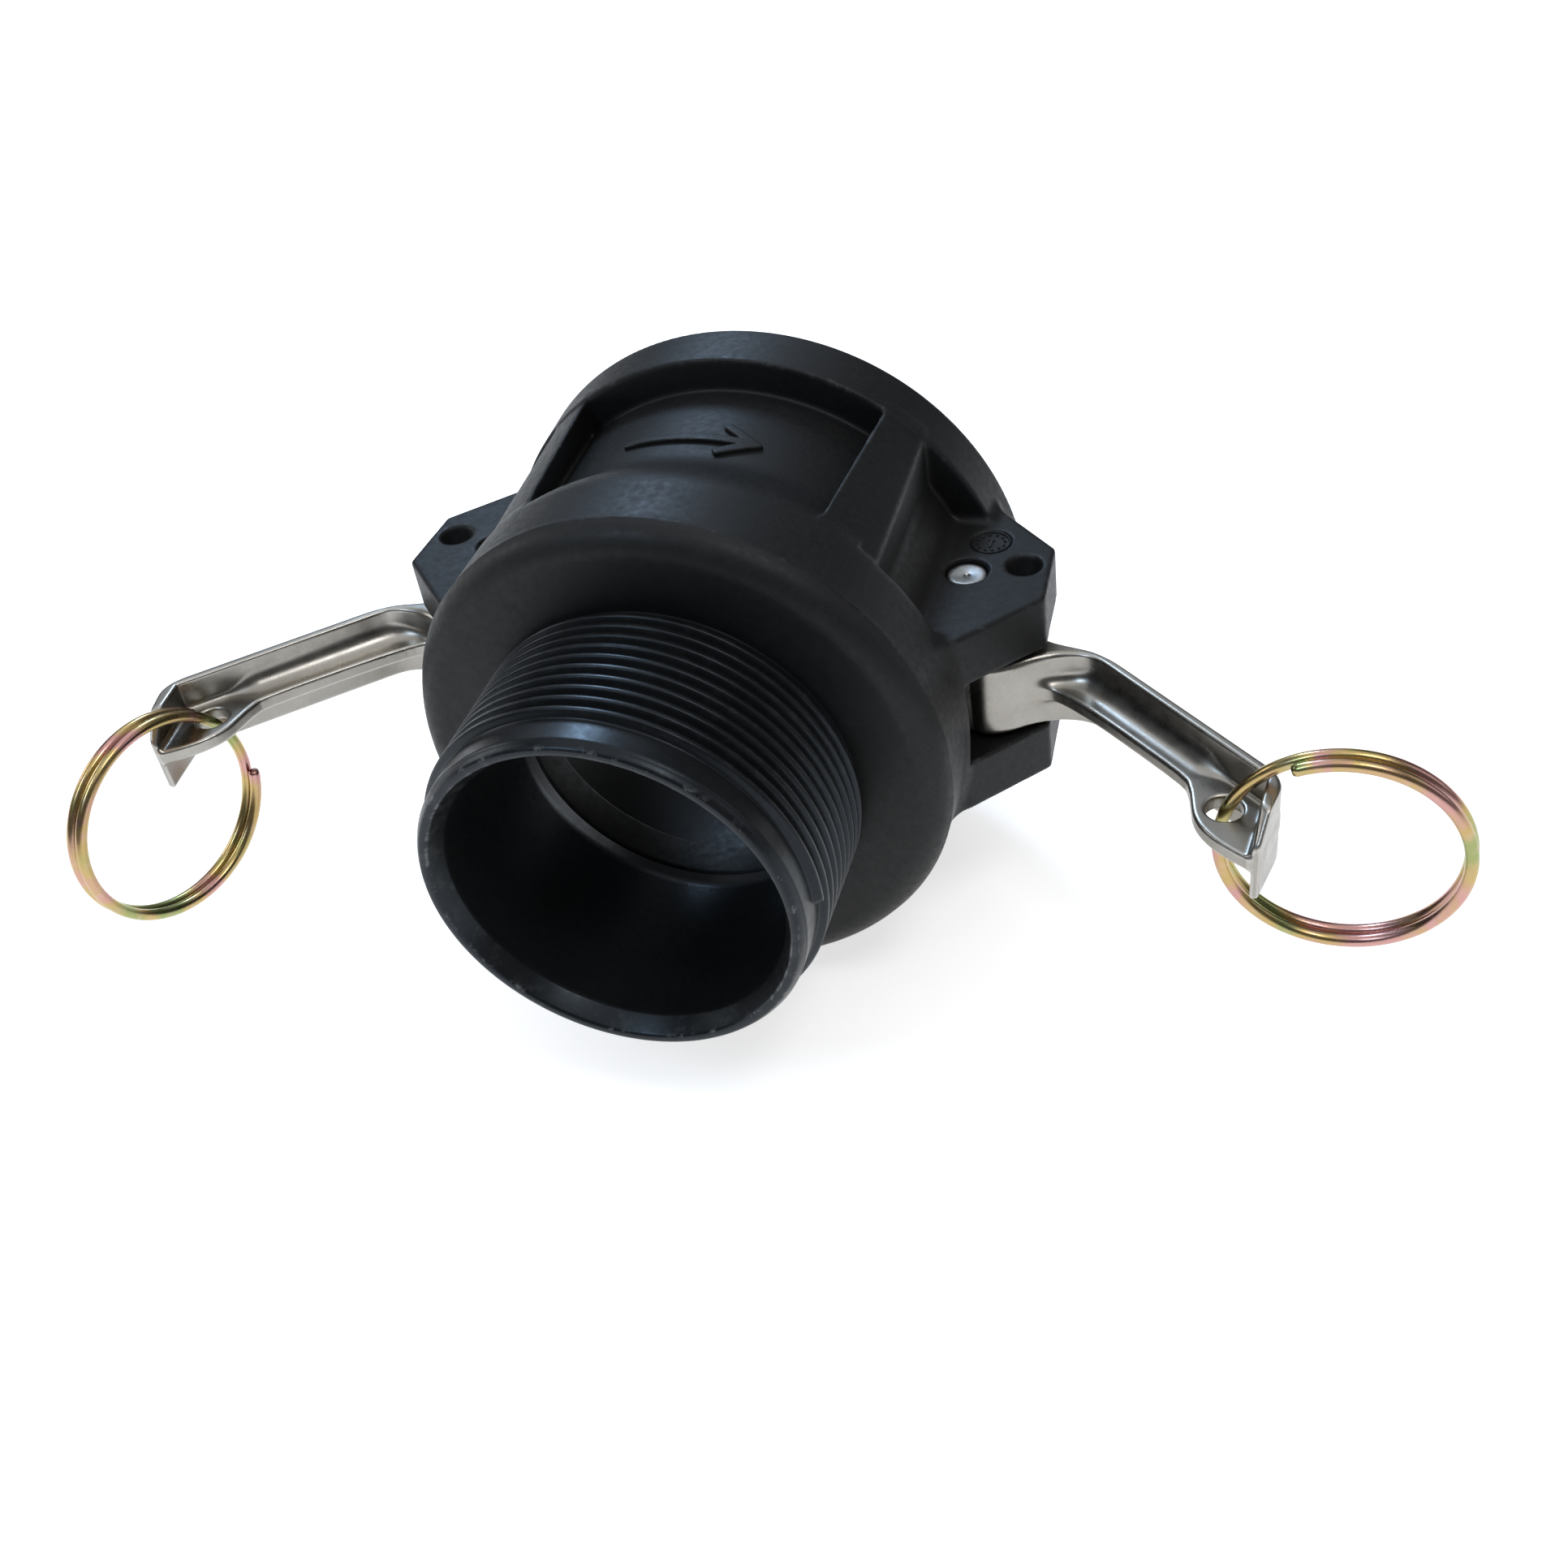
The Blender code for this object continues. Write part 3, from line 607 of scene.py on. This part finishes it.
# ---- arms, pins and rings --------------------------------------------------------------
def handle_outline():
    """Cam head, handle and end wall in arm axes: s along the handle, m outwards."""
    line = arc(0, 0, HEAD_R, -88, -46, 7)
    line += smooth_line([(8.27, -6.46), (9.9, -5.8), (11.3, -4.3), (12.3, -2.0), (12.9, 0.6),
                         (13.6, 2.8), (14.5, 4.7), (15.7, 6.3), (17.2, 7.7), (19.0, 8.6),
                         (21.5, 8.86), (24.0, 8.86)])
    line += [(54.8, 8.86), (61.15, 0.0), (61.9, 0.9)]
    line += smooth_line([(58.6, 7.0), (57.4, 8.8), (55.4, 10.0), (53.0, 10.36)], 3)
    line += smooth_line([(23.5, 10.36), (21.0, 10.25), (17.5, 9.55), (14.1, 8.2), (10.9, 6.9),
                         (7.5, 6.35), (3.2, 6.3)], 3)[:-1]
    return line + arc(0, 0, HEAD_BACK_R, 92, 212, 16) + [(-3.4, -7.6)]


def web_outline():
    """Thin web under the handle, which also carries the ring's eye."""
    line = smooth_line([(11.0, 1.0), (13.5, 2.5), (17.0, 3.75), (22.0, 4.3), (30.0, 4.55),
                        (42.0, 4.5), (45.0, 3.6), (47.4, 1.9), (49.6, 0.3), (52.0, -0.7),
                        (55.0, -1.1), (58.0, -0.9), (61.2, -0.35)], 3)
    return line + [(60.4, 3.0), (56.5, 9.4), (46.0, 9.6), (20.0, 9.6), (12.0, 6.0)]


HANDLE, WEB = handle_outline(), web_outline()


def arm_field(s, m, z):
    """Cast arm: a full-width handle over a thin web, with the eye and the pin's bore."""
    az = np.abs(z)
    edge = 0.45 + 0.75 * (1.0 - smooth_ramp(s, 12.0, 19.0))
    full = meet(rounded(s, m, HANDLE, 0.35), az - ARM_HALF, edge)
    end_wall_trim = np.where(s > 55.0, (z - m - 2.3) * math.sqrt(0.5), -5.0)
    full = meet(full, end_wall_trim, 0.5)
    web = meet(rounded(s, m, WEB, 0.4), az - WEB_HALF, 0.55)
    fillet = 3.1 - 2.1 * smooth_ramp(s, 42.5, 48.5) - 1.1 * (1.0 - smooth_ramp(s, 15.0, 20.0))
    f = join(full, web, fillet)
    f = cut(f, np.hypot(s - EYE_S, m - EYE_M) - EYE_R, 0.4)
    return cut(f, np.hypot(s, m) - ARM_BORE_R, 0.2)


def arm_to_body(points, side):
    """Arm axes (along the handle, outwards, along the pin) to the coupling's axes."""
    c, d = math.cos(ARM_ANGLE), math.sin(ARM_ANGLE)
    s, m, z = np.asarray(points).T
    return np.stack([side * (PIN_X + s * c + m * d), PIN_Y - s * d + m * c, z + ARM_SAG], 1)


def build_arm(word, side, mat):
    points, faces = surface(arm_field, (-11.2, -11.2, -7.2), (63.2, 11.2, 7.2), step=0.25)
    # On the arms this edge mask drives both rubbed wear and a painted highlight on the rims.
    wear = sharpness(arm_field, points, 0.35)
    if side < 0:
        faces = faces[:, ::-1]
    return make("cam_lever_" + word, arm_to_body(points, side), faces, "arm_" + word,
                "cam_arm_" + word, mat, wear)


def build_pin(word, side, mat):
    """Straight-knurled pin, its ends faced off with a small chamfer and a centre mark."""
    seg = 256
    angle = np.arange(seg) / seg
    groove = KNURL_DEPTH * np.abs(2.0 * ((angle * KNURLS) % 1.0) - 1.0)
    # From the centre mark outwards: radius, height over the end face, share of the groove.
    end = ((0.05, -0.25, 0.0), (0.7, -0.12, 0.0), (2.2, 0.0, 0.0), (2.75, 0.0, 0.0),
           (PIN_R - 0.15, -0.18, 0.6), (PIN_R, -0.5, 1.0), (PIN_R, -3.5, 1.0), (PIN_R, -3.9, 0.0))
    upper = [(r - share * groove, PIN_HALF + over) for r, over, share in end]
    lower = [(r, -height) for r, height in upper]
    points, faces = turned(lower + upper[::-1], seg)
    points = points[:, [2, 0, 1]] + np.array([side * PIN_X, PIN_Y, 0.0])
    return make("knurled_pin_" + word, points, faces, "body", "pivot_pin_" + word, mat)


def build_ring(word, side, hang, mat):
    """Nearly two turns of round wire; one strand runs through the eye of the arm."""
    swivel, droop, start, turn = hang
    t, d = math.radians(swivel), math.radians(droop)
    out = np.array([math.cos(t), math.sin(t), 0.0])
    normal = np.array([-math.sin(t), math.cos(t), 0.0])
    radial = out * math.cos(d) - np.array([0.0, 0.0, 1.0]) * math.sin(d)
    tangent = np.cross(normal, radial)
    centre = np.array([EYE_S, EYE_M, 0.0]) + radial * RING_R
    to_eye = (180.0 - start) * turn % 360.0
    count, sides = 420, 20
    sweep = np.linspace(0.0, to_eye + 350.0, count)
    a = np.radians(start + turn * sweep)
    outward = np.outer(np.cos(a), radial) + np.outer(np.sin(a), tangent)
    line = centre + RING_R * outward + np.outer(RING_PITCH * (sweep - to_eye) / 360.0, normal)
    thickness = np.full((count, 1, 1), WIRE_R)
    thickness[[0, -1]] *= 0.8
    b = TAU * np.arange(sides)[:, None] / sides
    points = line[:, None] + thickness * (outward[:, None] * np.cos(b) + normal * np.sin(b))
    faces = []
    for i in range(count - 1):
        near, far = i * sides, (i + 1) * sides
        for k in range(sides):
            k2 = (k + 1) % sides
            faces.append([near + k, far + k, far + k2, near + k2])
    faces.append(list(range(sides)))
    faces.append([(count - 1) * sides + k for k in reversed(range(sides))])
    if turn * side < 0:
        faces = [f[::-1] for f in faces]
    points = arm_to_body(points.reshape(-1, 3), side)
    return make("split_ring_" + word, points, faces, "ring_" + word, "pull_ring_" + word,
                mat)


# ---- floor, light and camera -----------------------------------------------------------
def build_stage():
    """Floor that gives off a little light, so that it stays near white under soft light."""
    mat = bpy.data.materials.new("floor")
    mat.use_nodes = True
    node = mat.node_tree.nodes["Principled BSDF"]
    node.inputs["Base Color"].default_value = (0.86, 0.86, 0.86, 1.0)
    node.inputs["Roughness"].default_value = 0.6
    node.inputs["Emission Color"].default_value = (1.0, 1.0, 1.0, 1.0)
    node.inputs["Emission Strength"].default_value = 0.68
    bpy.ops.mesh.primitive_plane_add(size=40.0, location=(0.0, 0.0, 0.0))
    floor = bpy.context.object
    floor.name = "floor"
    floor.data.materials.append(mat)


def area_light(name, at, size, power, colour=(1.0, 1.0, 1.0), aim=(0.0, 0.0, 0.04)):
    data = bpy.data.lights.new(name, "AREA")
    data.shape = "RECTANGLE"
    data.size, data.size_y = size
    data.energy = power
    data.color = colour
    ob = bpy.data.objects.new(name, data)
    ob.location = at
    ob.rotation_euler = (Vector(aim) - Vector(at)).to_track_quat("-Z", "Y").to_euler()
    bpy.context.scene.collection.objects.link(ob)


def build_light():
    """Dim world, one broad overhead panel and small panels that each give a glint."""
    world = bpy.data.worlds.new("studio")
    bpy.context.scene.world = world
    world.use_nodes = True
    background = world.node_tree.nodes["Background"]
    background.inputs["Color"].default_value = (0.95, 0.97, 1.0, 1.0)
    background.inputs["Strength"].default_value = 0.1
    area_light("sky_panel", (-0.30, 0.62, 0.62), (0.9, 0.5), 0.8, (0.9, 0.95, 1.0))
    area_light("side_panel", (0.75, 0.1, 0.45), (0.4, 0.5), 0.45)
    area_light("window", (-0.42, -0.55, 0.75), (0.16, 0.3), 1.6, (0.62, 0.8, 1.0))
    area_light("back_window", (-0.26, 0.50, 0.54), (0.12, 0.2), 1.5, (0.5, 0.72, 1.0))
    area_light("left_panel", (-0.85, 0.02, 0.42), (0.35, 0.35), 1.2)
    area_light("top_panel", (0.31, -0.23, 0.78), (0.2, 0.2), 1.0)
    area_light("overhead", (0.0, 0.0, 1.4), (1.8, 1.8), 9.0)


def build_camera():
    """The photo's camera, with colours shown as they are."""
    data = bpy.data.cameras.new("camera")
    data.sensor_width = SENSOR_MM
    data.lens = LENS_MM
    data.clip_start = 0.01
    camera = bpy.data.objects.new("camera", data)
    forward = Vector(CAMERA_FORWARD).normalized()
    right = Vector(CAMERA_RIGHT)
    right = (right - forward * right.dot(forward)).normalized()
    up = right.cross(forward)
    turn = Matrix((right, up, -forward)).transposed().to_4x4()
    place = Vector((AXIS + np.array(CAMERA_AT)) * MM)
    camera.matrix_world = Matrix.Translation(place) @ turn
    bpy.context.scene.collection.objects.link(camera)
    bpy.context.scene.camera = camera
    bpy.context.scene.view_settings.view_transform = "Standard"


def main():
    build_camera()
    build_stage()
    build_light()
    plastic = plastic_material("glass_filled_plastic", rough_lo=0.42, rough_hi=0.56,
                               wear_to=(0.10, 0.10, 0.105), gloss=0.26, sheen=(0.97, 0.98, 1.0))
    glossy = plastic_material("spigot_plastic", rough_lo=0.27, rough_hi=0.36,
                              wear_to=(0.16, 0.16, 0.165), gloss=0.3, sheen=(0.72, 0.86, 1.0))
    build_housing(plastic)
    build_spigot(glossy)
    build_mark(plastic)
    build_stamp(plastic)
    build_gasket(rubber_material())
    steel, pin_steel, zinc = cast_material(), pin_material(), zinc_material()
    for word, side, hang in (("right", 1, RIGHT_HANG), ("left", -1, LEFT_HANG)):
        build_arm(word, side, steel)
        build_pin(word, side, pin_steel)
        build_ring(word, side, hang, zinc)


main()
